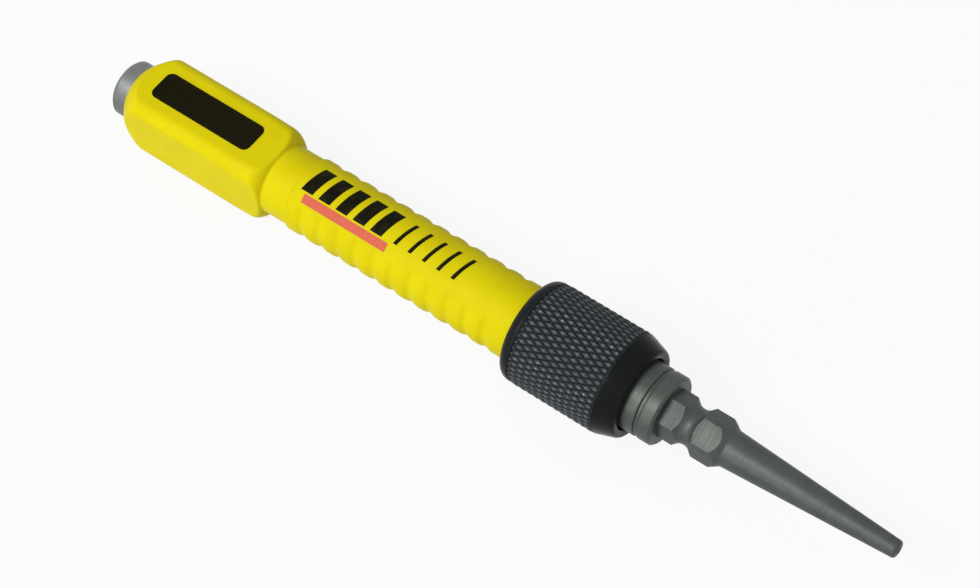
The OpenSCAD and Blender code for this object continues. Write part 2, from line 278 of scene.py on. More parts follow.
def lathe(name: str, outline: Outline, steps: int, closed: bool = False) -> Piece:
    """Turn an outline round the tool's axis.

    Args:
        name: name of the new piece.
        outline: station and radius of each point.
        steps: number of faces round the axis.
        closed: whether the last point is joined to the first, as in a ring.

    Returns:
        The turned solid.
    """
    path = [*outline, outline[0]] if closed else outline
    piece = point(Vector((path[0][0], 0, path[0][1])))
    for (x0, r0), (x1, r1) in zip(path, path[1:]):
        move = {"value": ((x1 - x0) * MM, 0, (r1 - r0) * MM)}
        bpy.ops.mesh.extrude_region_move(TRANSFORM_OT_translate=move)
    bpy.ops.mesh.select_all(action="SELECT")
    bpy.ops.mesh.spin(steps=steps, angle=math.tau, center=(0, 0, 0), axis=(1, 0, 0))
    bpy.ops.mesh.select_all(action="SELECT")
    bpy.ops.mesh.remove_doubles(threshold=WELD)
    bpy.ops.mesh.normals_make_consistent(inside=False)
    return settle(piece, name)


def bar(name: str, start: float, end: float, radius: float, sides: int) -> Piece:
    """Straight bar along the tool's axis.

    Args:
        name: name of the new piece.
        start: first station.
        end: last station.
        radius: radius over the corners, one of which is at the top.
        sides: number of sides.

    Returns:
        The bar.
    """
    lone()
    bpy.ops.mesh.primitive_cylinder_add(
        vertices=sides,
        radius=radius * MM,
        depth=(end - start) * MM,
        location=((start + end) / 2 * MM, 0, 0),
        rotation=(math.pi / 2, 0, math.pi / 2),
    )
    return settle(bpy.context.object, name)


def reshape(piece: Piece, change: Callable[[Vector], Vector]) -> None:
    """Move each vertex of a piece.

    Args:
        piece: the object to change.
        change: gives a vertex's new place, in millimetres.
    """
    for vertex in piece.data.vertices:
        vertex.co = change(vertex.co / MM) * MM
    piece.data.update()


def least(a: float, b: float, blend: float) -> float:
    """Smaller of two lengths, with a soft passage of the given width."""
    share = max(blend - abs(a - b), 0) / blend
    return min(a, b) - share * share * blend / 4


def most(a: float, b: float, blend: float) -> float:
    """Larger of two lengths, with a soft passage of the given width."""
    return -least(-a, -b, blend)


def eased(value: float, low: float, high: float) -> float:
    """Smooth step from 0 at low to 1 at high."""
    share = min(max((value - low) / (high - low), 0), 1)
    return share * share * (3 - 2 * share)


@dataclass(frozen=True)
class Patches:
    """Soft patches cut out of noise.

    scale, detail and rough say how fine the noise is, low and high at which noise a patch
    starts and is full, faint and strong which values lie between the patches and in them.
    """

    scale: float
    detail: float
    rough: float
    low: float
    high: float
    faint: float = 0.0
    strong: float = 1.0


@dataclass(frozen=True)
class Scratches:
    """Fine lines cut out of stretched and turned noise, in some places only."""

    stretch: Triple
    turn: Triple
    low: float
    high: float
    places: Patches


class Graph:
    """Node tree of a material or the world, in millimetres of the object's own space."""

    edge_samples = 6
    edge_bends = (0.995, 0.86)
    line_detail = 2.0

    def __init__(self, owner: bpy.types.ID) -> None:
        """Open the node tree of a new material or world."""
        owner.use_nodes = True
        self.tree = owner.node_tree

    @cached_property
    def place(self) -> Socket:
        """The object's own coordinates in millimetres."""
        return self.scaled(self.node("TexCoord").outputs["Object"], (1 / MM, 1 / MM, 1 / MM))

    def join(self, value: object, socket: Socket) -> None:
        """Link an output to a socket, or set the socket to a plain value.

        Args:
            value: the output or the plain value.
            socket: the input.
        """
        if isinstance(value, Socket):
            self.tree.links.new(value, socket)
        else:
            socket.default_value = value

    def fill(self, node: Node, **values: object) -> Node:
        """Set or link a node's inputs.

        Args:
            node: the node to fill.
            values: its inputs by name, with underscores for blanks.

        Returns:
            The same node.
        """
        for key, value in values.items():
            self.join(value, node.inputs[key.replace("_", " ")])
        return node

    def node(self, kind: str, **values: object) -> Node:
        """Add a node of a kind and fill its inputs by name."""
        return self.fill(self.tree.nodes.new("ShaderNode" + kind), **values)

    def scaled(self, vector: Socket, scale: Triple, turn: Triple = (0, 0, 0)) -> Socket:
        """Scale coordinates by a factor along each axis and turn them by degrees about each."""
        turns = [math.radians(a) for a in turn]
        return self.node("Mapping", Vector=vector, Scale=scale, Rotation=turns).outputs["Vector"]

    def math(self, kind: str, *values: object) -> Socket:
        """Add a Math node.

        Args:
            kind: Blender's name of the operation.
            values: one, two or three values.

        Returns:
            The result.
        """
        node = self.node("Math")
        node.operation = kind
        for value, socket in zip(values, node.inputs):
            self.join(value, socket)
        return node.outputs[0]

    def times(self, *values: object) -> Socket:
        """Product of two values."""
        return self.math("MULTIPLY", *values)

    def larger(self, *values: object) -> Socket:
        """Larger of two values."""
        return self.math("MAXIMUM", *values)

    def span(
        self, value: Socket, low: float, high: float, to_low: float = 0, to_high: float = 1,
    ) -> Socket:
        """Map a value from one range to another, with soft ends.

        Args:
            value: the value to map.
            low: start of its range.
            high: end of its range.
            to_low: result at the start.
            to_high: result at the end.

        Returns:
            The result.
        """
        node = self.node(
            "MapRange", Value=value, From_Min=low, From_Max=high, To_Min=to_low, To_Max=to_high,
        )
        node.interpolation_type = "SMOOTHSTEP"
        return node.outputs["Result"]

    def noise(
        self, scale: float, detail: float = 3, rough: float = 0.5, vector: Socket | None = None,
    ) -> Socket:
        """Noise from 0 to 1, as Patches tells, in given coordinates or the object's own."""
        node = self.node(
            "TexNoise", Vector=vector or self.place, Scale=scale, Detail=detail, Roughness=rough,
        )
        return node.outputs["Fac"]

    def patches(self, kind: Patches, base: float = 0.0, share: float = 1.0) -> Socket:
        """Add soft patches.

        Args:
            kind: how they look.
            base: value that theirs are added to.
            share: share of their strong value.

        Returns:
            The values.
        """
        cloud = self.noise(kind.scale, kind.detail, kind.rough)
        faint, strong = base + kind.faint, base + kind.strong * share
        return self.span(cloud, kind.low, kind.high, faint, strong)

    def scratches(self, kind: Scratches) -> Socket:
        """Add fine lines.

        Args:
            kind: how they look.

        Returns:
            A mask from 0 to 1 on a line.
        """
        vector = self.scaled(self.place, kind.stretch, kind.turn)
        lines = self.noise(1, self.line_detail, vector=vector)
        return self.times(self.span(lines, kind.low, kind.high), self.patches(kind.places))

    def from_axis(self) -> Socket:
        """Distance from the tool's axis in millimetres.

        Returns:
            The distance.
        """
        apart = self.node("SeparateXYZ", Vector=self.place)
        squares = [self.times(apart.outputs[i], apart.outputs[i]) for i in (1, 2)]
        return self.math("SQRT", self.math("ADD", *squares))

    def along(self) -> Socket:
        """Station along the tool's axis in millimetres."""
        return self.node("SeparateXYZ", Vector=self.place).outputs[0]

    def edges(self, width: float) -> tuple[Socket, Socket]:
        """Find a piece's edges.

        Args:
            width: width of the rounding.

        Returns:
            The rounded normal, and a mask that is 1 on an edge.
        """
        soft = self.node("Bevel", Radius=width * MM)
        soft.samples = self.edge_samples
        plain = self.node("NewGeometry")
        dot = self.node("VectorMath")
        dot.operation = "DOT_PRODUCT"
        self.join(soft.outputs["Normal"], dot.inputs[0])
        self.join(plain.outputs["Normal"], dot.inputs[1])
        return soft.outputs["Normal"], self.span(dot.outputs["Value"], *self.edge_bends)

    def blend(self, share: object, first: object, second: object) -> Socket:
        """Mix two colours.

        Args:
            share: share of the second.
            first: a colour.
            second: another colour.

        Returns:
            The mixed colour.
        """
        node = self.node("Mix")
        node.data_type = "RGBA"
        self.join(share, node.inputs[0])
        for value, socket in zip((first, second), (node.inputs[6], node.inputs[7])):
            self.join(value if isinstance(value, Socket) else (*value, 1), socket)
        return node.outputs[2]

    def relief(self, height: Socket, depth: float, normal: Socket | None = None) -> Socket:
        """Add a fine relief.

        Args:
            height: heights from 0 to 1.
            depth: what they are multiplied by.
            normal: normal that the relief lies on, if not the surface's own.

        Returns:
            The normal with its relief.
        """
        node = self.node("Bump", Distance=depth * MM, Height=height)
        if normal:
            self.join(normal, node.inputs["Normal"])
        return node.outputs["Normal"]

    def seen(self, share: float) -> Socket:
        """Share of white that rays from the camera, in a reflection or through glass find.

        Args:
            share: the white's share for such a ray.

        Returns:
            The share, or 0 for any other ray.
        """
        rays = self.node("LightPath").outputs
        value = rays["Is Camera Ray"]
        for kind in ("Is Glossy Ray", "Is Transmission Ray"):
            value = self.larger(value, rays[kind])
        return self.times(value, share)

    def mixed(self, share: Socket, first: Node, second: Node) -> Node:
        """Mix two shaders.

        Args:
            share: share of the second.
            first: a shader.
            second: another shader.

        Returns:
            The mixed shader.
        """
        node = self.node("MixShader")
        for value, socket in zip((share, first.outputs[0], second.outputs[0]), node.inputs):
            self.join(value, socket)
        return node


@dataclass(frozen=True)
class Finish:
    """How a surface looks."""

    name: str
    tone: Colour

    def values(self, g: Graph) -> dict[str, object]:
        """Values of the shader's inputs by name, made in a material's node tree."""
        raise NotImplementedError

    def material(self) -> Material:
        """Make the finish's material.

        Returns:
            The material.
        """
        material = bpy.data.materials.new(self.name)
        g = Graph(material)
        g.fill(g.tree.nodes["Principled BSDF"], **self.values(g))
        return material


@dataclass(frozen=True)
class Plastic(Finish):
    """Moulded plastic with a fine spark-eroded grain."""

    shade_tone: Colour
    roughness: float
    grain: float = 7.0
    grain_depth: float = 0.006
    edge_width: float = 0.2
    gloss: float = 0.04
    clouds: Patches = Patches(0.16, 3, 0.55, 0.35, 0.7)
    cloud_share: float = 0.55
    mottle: Patches = Patches(1.6, 4, 0.6, 0.4, 0.75, 0, 0.3)
    scuffs: Scratches = Scratches(
        (0.35, 6.0, 6.0), (8, 14, 23), 0.66, 0.74, Patches(0.3, 3, 0.5, 0.45, 0.65),
    )
    scuff_share: float = 0.12
    # Patches where the edges turn paler: partly wear, partly a painted highlight.
    rub_and_highlight_patches: Patches = Patches(0.9, 3, 0.5, 0.4, 0.62, 0, 0.35)
    sheen: Patches = Patches(0.5, 4, 0.6, 0.3, 0.7, -0.05, 0.07)
    polish: float = 0.25
    milky: float = 0.06
    milky_reach: Triple = (1.0, 0.7, 0.1)
    milky_depth: float = 1.2

    def values(self, g: Graph) -> dict[str, object]:
        """Colour that drifts a little, a fine grain, faint scuffs and pale edges from wear and
        painted highlight.

        Args:
            g: the material's node tree.

        Returns:
            The shader's inputs by name.
        """
        soft, edge = g.edges(self.edge_width)
        drift = g.larger(g.times(g.patches(self.clouds), self.cloud_share), g.patches(self.mottle))
        tone = g.blend(drift, self.tone, self.shade_tone)
        scuff = g.scratches(self.scuffs)
        # Paler edges: partly real wear, partly a painted highlight along the edges.
        rub_and_highlight = g.times(edge, g.patches(self.rub_and_highlight_patches))
        pale = tuple(min(1.0, c * 1.06 + 0.02) for c in self.tone)
        tone = g.blend(g.larger(rub_and_highlight, g.times(scuff, self.scuff_share)), tone, pale)
        gloss = g.patches(self.sheen, self.roughness)
        grain = g.math("ADD", g.times(g.noise(self.grain, 2), 0.8), g.times(scuff, -0.5))
        return dict(
            Base_Color=tone,
            Roughness=g.math("SUBTRACT", gloss, g.times(rub_and_highlight, self.polish)),
            Normal=g.relief(grain, self.grain_depth, soft),
            Specular_IOR_Level=self.gloss,
            Subsurface_Weight=self.milky,
            Subsurface_Radius=self.milky_reach,
            Subsurface_Scale=self.milky_depth * MM,
        )


@dataclass(frozen=True)
class Steel(Finish):
    """Bare or plated steel with turning marks round the tool's axis."""

    stain: Colour
    # Tone of edges and scratches; on the edges it is partly a painted highlight.
    bright: Colour
    roughness: float
    marks: float = 5.0
    marks_depth: float = 0.004
    marks_sway: float = 0.12
    pits: float = 0.5
    edge_width: float = 0.12
    metal: float = 1.0
    face_marks: float = 1.0
    sheen: float = 0.2
    clouds: Patches = Patches(0.35, 5, 0.6, 0.35, 0.7)
    cloud_share: float = 0.6
    spots: Patches = Patches(2.6, 4, 0.65, 0.6, 0.78)
    lines: Scratches = Scratches(
        (0.5, 9.0, 9.0), (5, 31, 12), 0.68, 0.73, Patches(0.4, 3, 0.5, 0.45, 0.6),
    )
    line_share: float = 0.22
    # Patches where edges brighten: partly wear, partly a painted highlight on the bevels.
    wear: Patches = Patches(1.1, 3, 0.5, 0.25, 0.6, 0.5, 1.0)

    def turning(self, g: Graph) -> Socket:
        """Add rings round the axis, as a lathe leaves them.

        Args:
            g: the material's node tree.

        Returns:
            Noise from 0 to 1.
        """
        way = g.math("ADD", g.along(), g.times(g.from_axis(), self.face_marks))
        sway = g.math("ADD", way, g.times(g.noise(0.5, 2), self.marks_sway))
        rings = g.node("TexNoise", Scale=self.marks, Detail=4, Roughness=0.7)
        rings.noise_dimensions = "1D"
        g.join(sway, rings.inputs["W"])
        return rings.outputs["Fac"]

    def values(self, g: Graph) -> dict[str, object]:
        """Turning marks, a drifting tone, small pits, scratches and bright edges from wear and
        painted highlight.

        Args:
            g: the material's node tree.

        Returns:
            The shader's inputs by name.
        """
        soft, edge = g.edges(self.edge_width)
        rings = self.turning(g)
        spots = g.patches(self.spots, share=self.pits)
        scratch = g.scratches(self.lines)
        tone = g.blend(g.times(g.patches(self.clouds), self.cloud_share), self.tone, self.stain)
        tone = g.blend(spots, tone, tuple(0.5 * c for c in self.stain))
        # Brighter edges: partly real wear, partly a painted highlight of the lamps glinting on the
        # bevels.
        edge_wear_and_glint = g.times(edge, g.patches(self.wear))
        tone = g.blend(g.larger(edge_wear_and_glint, g.times(scratch, self.line_share)), tone, self.bright)
        gloss = g.span(rings, 0.3, 0.7, self.roughness - 0.05, self.roughness + 0.09)
        gloss = g.math("ADD", gloss, g.times(spots, 0.25))
        height = g.math("SUBTRACT", rings, g.times(spots, 0.8))
        height = g.math("SUBTRACT", height, g.times(scratch, 0.5))
        return dict(
            Base_Color=tone,
            Metallic=self.metal,
            Specular_IOR_Level=self.sheen,
            Roughness=g.math("SUBTRACT", gloss, g.times(edge_wear_and_glint, 0.1)),
            Normal=g.relief(height, self.marks_depth, soft),
        )


@dataclass(frozen=True)
class BlackOxide(Finish):
    """Blackened steel, darker in its hollows and paler on what stands proud, from wear and painted
    highlight.
    """

    # Colour of crests and proud edges: partly wear, partly painted highlight and sheen.
    rub_and_highlight: Colour
    crest: float
    floor: float
    roughness: float
    marks: float = 4.0
    marks_depth: float = 0.004
    edge_width: float = 0.1
    edge_share: float = 0.35
    sheen: float = 0.07
    metal: float = 0.3
    flanks: float = 0.0
    start: float = 92.45
    end: float = 109.8
    border: float = 0.05
    patch: Patches = Patches(0.45, 4, 0.6, 0.35, 0.68, 0.5)
    speck: Patches = Patches(3.2, 4, 0.65, 0.4, 0.7, 0.4)
    dust: Patches = Patches(0.8, 5, 0.7, 0.5, 0.8, 0, 0.25)
    gloss: Patches = Patches(1.4, 4, 0.6, 0.3, 0.75, -0.06, 0.1)

    def values(self, g: Graph) -> dict[str, object]:
        """Black skin with fine turning marks, dust, and pale crests from wear and painted
        highlight.

        Args:
            g: the material's node tree.

        Returns:
            The shader's inputs by name.
        """
        soft, edge = g.edges(self.edge_width)
        behind = g.span(g.along(), self.start - self.border, self.start)
        within = g.times(behind, g.span(g.along(), self.end, self.end + self.border, 1, 0))
        # Crests, upper flanks and proud edges turn paler and the hollows stay darker: partly wear,
        # partly painted highlight.
        rise = g.times(g.span(g.from_axis(), self.floor, self.crest), within)
        proud = g.larger(rise, g.math("SUBTRACT", 1.0, within))
        patch = g.patches(self.patch)
        crest = g.times(g.times(g.math("POWER", rise, 3.0), patch), g.patches(self.speck))
        rub_highlight = g.larger(crest, g.times(rise, self.flanks))
        rub_highlight = g.larger(rub_highlight, g.times(g.times(edge, proud), g.times(patch, self.edge_share)))
        dusty = tuple(1.8 * c + 0.006 for c in self.tone)
        tone = g.blend(g.patches(self.dust), self.tone, dusty)
        tone = g.blend(g.times(rub_highlight, 0.7), tone, self.rub_and_highlight)
        rings = g.noise(1, 3, 0.6, g.scaled(g.place, (self.marks, 0.05, 0.05)))
        height = g.math("ADD", rings, g.times(g.noise(6), 0.6))
        return dict(
            Base_Color=tone,
            Metallic=g.times(rub_highlight, self.metal),
            Roughness=g.math("SUBTRACT", g.patches(self.gloss, self.roughness), g.times(rub_highlight, 0.06)),
            Normal=g.relief(height, self.marks_depth, soft),
            Specular_IOR_Level=self.sheen,
        )


@dataclass(frozen=True)
class Print(Finish):
    """Ink printed on the grip, thin enough for the plastic's grain to show."""

    under: Colour
    wear: float
    roughness: float = 0.34
    sheen: float = 0.035
    holes: Patches = Patches(5.0, 3, 0.6, 0.68, 0.76)
    thin: Patches = Patches(0.7, 4, 0.6, 0.45, 0.8)
    gloss: Patches = Patches(1.2, 3, 0.5, 0.3, 0.7, -0.04, 0.1)

    def values(self, g: Graph) -> dict[str, object]:
        """Ink with faint pinholes and a little of the plastic coming through.

        Args:
            g: the material's node tree.

        Returns:
            The shader's inputs by name.
        """
        thin = g.patches(self.thin, share=self.wear)
        bare = g.larger(g.times(g.patches(self.holes), self.wear), g.times(thin, 0.4))
        return dict(
            Base_Color=g.blend(bare, self.tone, self.under),
            Roughness=g.patches(self.gloss, self.roughness),
            Normal=g.relief(g.noise(7, 2), 0.005),
            Specular_IOR_Level=self.sheen,
        )


YELLOW = (0.76, 0.652, 0.004)
HEAD_PLASTIC = Plastic("yellow_hard_plastic", YELLOW, (0.70, 0.585, 0.003), roughness=0.38)
GRIP_PLASTIC = Plastic(
    "yellow_grip_plastic", (0.75, 0.645, 0.004), (0.68, 0.57, 0.003),
    roughness=0.46, grain=9.0, grain_depth=0.008,
)
# Each steel's third colour lights up its edges and scratches; on the edges that is partly painted
# highlight.
CAP_STEEL = Steel(
    "striking_steel", (0.20, 0.21, 0.205), (0.14, 0.147, 0.144), (0.45, 0.46, 0.46),
    roughness=0.44, marks=6.0, marks_depth=0.006,
)
NOSE_STEEL = Steel(
    "nose_steel", (0.085, 0.095, 0.085), (0.061, 0.069, 0.061), (0.34, 0.36, 0.34),
    roughness=0.44, edge_width=0.16, metal=0.6,
)
BIT_STEEL = Steel(
    "bit_steel", (0.084, 0.095, 0.086), (0.064, 0.073, 0.066), (0.28, 0.30, 0.285),
    roughness=0.46, marks=3.5, marks_depth=0.0025, metal=0.6, face_marks=0.0,
)
# A darker copy of the washers' bright steel: painted shade for the stop washer deep in the collar's
# gap.
SHADED_STOP_STEEL = Steel(
    "shaded_stop_washer_steel", (0.3, 0.305, 0.31), (0.22, 0.225, 0.23), (0.45, 0.455, 0.46),
    roughness=0.4,
)
BRIGHT_STEEL = Steel(
    "bright_steel", (0.6, 0.61, 0.62), (0.45, 0.46, 0.47), (0.8, 0.8, 0.81), roughness=0.28,
)
DARK_STEEL = Steel(
    "spring_ring_steel", (0.16, 0.16, 0.17), (0.1, 0.1, 0.11), (0.4, 0.4, 0.42), roughness=0.36,
)
BALL_STEEL = Steel(
    "ball_steel", (0.75, 0.75, 0.77), (0.66, 0.66, 0.68), (0.85, 0.85, 0.86),
    roughness=0.14, marks_depth=0.0005, pits=0.1,
)
# The second colour of each blackened finish pales its crests and proud edges: partly wear, partly
# painted highlight and sheen.
KNURL_BLACK = BlackOxide(
    "black_knurl", (0.0105, 0.013, 0.0138), (0.37, 0.42, 0.44),
    crest=9.75, floor=9.33, roughness=0.3, flanks=0.34,
)
RING_BLACK = BlackOxide(
    "black_ring", (0.007, 0.008, 0.0085), (0.12, 0.125, 0.13),
    crest=9.9, floor=9.6, roughness=0.26,
)
PLATE_BLACK = Print(
    "black_plate", (0.009, 0.0075, 0.0015), (0.04, 0.04, 0.03), wear=0.2, roughness=0.3,
)
INK_BLACK = Print("black_ink", (0.007, 0.007, 0.004), YELLOW, wear=0.07)
INK_RED = Print("red_ink", (0.69, 0.14, 0.083), YELLOW, wear=0.16)


def dress(piece: Piece, material: Material) -> None:
    """Give a piece one material all over."""
    piece.data.materials.clear()
    piece.data.materials.append(material)


def dress_node(node: str, material: Material) -> None:
    """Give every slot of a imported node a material.

    Args:
        node: the node's name.
        material: its new material.
    """
    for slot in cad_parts[node].material_slots:
        slot.material = material
    LOG.info("node %s keeps its solid and gets %s", node, material.name)


def seat(piece: Piece, material: Material, body: Body, slot: str, *nodes: str) -> None:
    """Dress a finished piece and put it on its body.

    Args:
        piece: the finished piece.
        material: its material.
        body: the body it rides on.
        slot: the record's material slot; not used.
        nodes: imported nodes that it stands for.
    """
    dress(piece, material)
    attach(piece, body.value)
    if nodes:
        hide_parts(*nodes)
    LOG.info("piece %s: %d faces on %s", piece.name, len(piece.data.polygons), body.value)


@dataclass
class Handle:
    """Square head, neck, ribbed grip, label plate and printed stripes."""

    head_start: float = 3.4
    head_end: float = 36.4
    half_width: float = 7.15
    edge: float = 2.5
    lip: float = 5.5
    dome_radius: float = 20.0
    dome_centre: tuple[float, float] = (18.607, -7.485)
    shoulder: float = 3.4
    neck: float = 6.65
    grip_start: float = 41.8
    grip_end: float = 93.6
    grip_radius: float = 7.05
    sleeve: float = 6.0
    bore: float = 5.03
    step: float = 84.0
    step_bore: float = 5.73
    furrow_first: float = 45.4
    furrow_pitch: float = 4.0
    furrow_count: int = 11
    furrow_width: float = 3.0
    furrow_depth: float = 0.36
    panel_half_angle: float = 48.0
    panel_fade: float = 5.0
    crease: float = 0.5
    fillet: float = 0.6
    dome_run: float = 5.6
    flat_start: float = 7.0
    plate: tuple[float, float, float, float] = (8.5, 30.8, 6.1, 0.16)
    plate_corner: float = 1.3
    plate_sunk: float = 0.02
    plate_rim: tuple[tuple[float, float], ...] = ((0.35, 0.0), (0.08, -0.06))
    ink_lift: float = 0.004
    ink: float = 0.02

    def bar_radius(self, turn: float) -> float:
        """Surface of the head's rounded square bar.

        Args:
            turn: turn from the top, in radians.

        Returns:
            Its distance from the axis.
        """
        across, up = abs(math.sin(turn)), abs(math.cos(turn))
        across, up = max(across, up), min(across, up)
        reach = self.half_width - self.edge
        flat = self.half_width / across
        if flat * up <= reach:
            return flat
        middle = reach * (across + up)
        return middle + math.sqrt(self.edge**2 - (2 * reach**2 - middle**2))

    def end_radius(self, x: float) -> float:
        """Surface of the head's dome behind and shoulder in front.

        Args:
            x: the station.

        Returns:
            Its distance from the axis.
        """
        corner = (self.half_width - self.edge) * math.sqrt(2) + self.edge
        along = min(x, self.dome_centre[0]) - self.dome_centre[0]
        dome = self.dome_centre[1] + math.sqrt(self.dome_radius**2 - along**2)
        start = self.head_end - self.shoulder
        if x < start:
            return least(dome, corner + 0.05 * (start - x) ** 2, self.crease / 2)
        fall = min(x - start, self.shoulder)
        return corner - self.shoulder + math.sqrt(self.shoulder**2 - fall**2)

    def head_point(self, spot: Vector) -> Vector:
        """Place of a point of the turned blank on the finished head.

        Args:
            spot: the point.

        Returns:
            Its new place.
        """
        radius = math.hypot(spot.y, spot.z)
        start, end = self.head_start + TINY, self.head_end + self.fillet
        if not start < spot.x < end or radius < self.sleeve:
            return spot
        turn = math.atan2(spot.y, spot.z)
        size = least(self.bar_radius(turn), self.end_radius(spot.x), self.crease)
        size = most(size, self.neck, 0.35) if spot.x > self.head_end - 1.5 else size
        return Vector((spot.x, spot.y * size / radius, spot.z * size / radius))

    def make_head(self) -> Piece:
        """Head, neck and hidden sleeve as one hollow moulding.

        Returns:
            The finished piece.
        """
        start, end, ends = self.head_start, self.head_end, self.shoulder + self.fillet
        flat = self.flat_start
        stations = [start + 0.02 + self.dome_run * (i / 40) ** 1.15 for i in range(41)]
        stations += [start + flat + (end - ends - start - flat) * i / 14 for i in range(14)]
        stations += [end - ends + (ends + 0.5) * i / 44 for i in range(45)]
        outline: Outline = [(start, self.bore), (start, self.lip - 0.12)]
        outline += [(x, self.half_width + self.edge) for x in stations]
        outline += [(end + 0.8, self.neck), (self.grip_start - 0.1, self.neck)]
        outline += [(self.grip_start, self.neck - 0.1), (self.grip_start, self.sleeve)]
        outline += [(self.step, self.sleeve), (self.step, self.bore)]
        piece = lathe("handle_body", outline, steps=256, closed=True)
        reshape(piece, self.head_point)
        shade(piece, 40)
        return piece

    def grip_point(self, spot: Vector) -> Vector:
        """Place of a point of the plain grip once its furrows are pressed in.

        Args:
            spot: the point.

        Returns:
            Its new place.
        """
        radius = math.hypot(spot.y, spot.z)
        if radius < self.grip_radius - 0.6:
            return spot
        turn = abs(math.degrees(math.atan2(spot.y, spot.z)))
        half, fade = self.panel_half_angle, self.panel_fade
        outside = eased(turn, half - fade, half + fade)
        along = spot.x - self.furrow_first
        number = min(max(round(along / self.furrow_pitch), 0), self.furrow_count - 1)
        away = abs(along - number * self.furrow_pitch) / (self.furrow_width / 2)
        dip = self.furrow_depth * outside * (math.cos(math.pi * min(away, 1)) + 1) / 2
        return Vector((spot.x, spot.y * (radius - dip) / radius, spot.z * (radius - dip) / radius))

    def make_grip(self) -> Piece:
        """Grip with soft furrows that fade out at the smooth panel.

        Returns:
            The finished piece.
        """
        start, end, top = self.grip_start, self.grip_end, self.grip_radius
        inside, count = self.sleeve + 0.03, 190
        outline = rounded([
            (start, inside, 0), (start, top, 0.45), (end, top, 0.45),
            (end, self.step_bore, 0), (self.step, self.step_bore, 0), (self.step, inside, 0),
        ], 6)
        rear = [i for i, (x, r) in enumerate(outline) if r > top - TINY and x < self.step]
        split = max(rear) + 1
        ribs = [(start + 0.6 + (end - start - 1.2) * i / count, top) for i in range(count + 1)]
        outline[split:split] = ribs
        piece = lathe("grip_moulding", outline, steps=180, closed=True)
        reshape(piece, self.grip_point)
        shade(piece, 40)
        return piece

    def make_plate(self) -> Piece:
        """Bare label plate with round corners and a thin raised rim.

        Returns:
            The finished piece.
        """
        lone()
        start, end, width, depth = self.plate
        height = self.half_width + depth / 2 - self.plate_sunk
        bpy.ops.mesh.primitive_cube_add(
            size=1,
            location=((start + end) / 2 * MM, 0, height * MM),
            scale=((end - start) * MM, width * MM, depth * MM),
        )
        piece = settle(bpy.context.object, "label_plate")
        low = [v.co.z < self.half_width * MM for v in piece.data.vertices]
        mark(piece, "EDGE", lambda e: low[e.vertices[0]] != low[e.vertices[1]])
        bpy.ops.mesh.bevel(offset=self.plate_corner * MM, segments=8, affect="EDGES")
        leave()
        mark(piece, "FACE", lambda f: f.normal.z > 0.9)
        for width, depth in self.plate_rim:
            bpy.ops.mesh.inset(thickness=width * MM, depth=depth * MM)
        leave()
        soften(piece, 0.03, 30)
        shade(piece, 35)
        return piece

    def make_stripe(
        self, name: str, x: float, width: float, turn: float, sweep: float, lean: float,
    ) -> Piece:
        """Printed stripe that lies on the grip's panel.

        Args:
            name: name of the new piece.
            x: first station.
            width: width along the tool.
            turn: turn from the top towards -Y where the stripe starts, in degrees.
            sweep: turn that it takes up.
            lean: distance along the tool that it leans by on its way.

        Returns:
            The finished piece.
        """
        start = math.radians(turn)
        lift = self.grip_radius + self.ink_lift
        piece = point(Vector((x, -math.sin(start) * lift, math.cos(start) * lift)))
        move = {"value": (width / 6 * MM, 0, 0)}
        for _ in range(6):
            bpy.ops.mesh.extrude_region_move(TRANSFORM_OT_translate=move)
        leave()
        settle(piece, name)
        steps = max(6, round(sweep / 2.5))
        add_modifier(
            piece, "SCREW", axis="X", angle=math.radians(sweep), screw_offset=lean * MM,
            steps=steps, render_steps=steps, use_merge_vertices=False,
        )
        edit(piece, whole=True)
        bpy.ops.mesh.normals_make_consistent(inside=False)
        leave()
        add_modifier(piece, "SOLIDIFY", thickness=self.ink * MM, offset=1)
        shade(piece, 35)
        return piece

    def build(self) -> None:
        """Make, dress and seat the handle's pieces."""
        seat(self.make_head(), HEAD_PLASTIC.material(), Body.TOOL, "handle_core", "handle_core")
        seat(self.make_grip(), GRIP_PLASTIC.material(), Body.TOOL, "grip", "grip")
        seat(self.make_plate(), PLATE_BLACK.material(), Body.TOOL, "handle_core")
        black = INK_BLACK.material()
        rows = [("bold", 44.6, 3.8, 2.5, -21.0, 47.0), ("thin", 64.8, 3.1, 0.75, -18.0, 43.0)]
        for kind, first, pitch, width, turn, sweep in rows:
            for i in range(5):
                name = f"{kind}_stripe_{i + 1}"
                stripe = self.make_stripe(name, first + pitch * i, width, turn, sweep, -1.2)
                seat(stripe, black, Body.TOOL, "grip")
        underline = self.make_stripe("red_stripe", 44.5, 18.4, 29.0, 14.0, 0)
        seat(underline, INK_RED.material(), Body.TOOL, "grip")


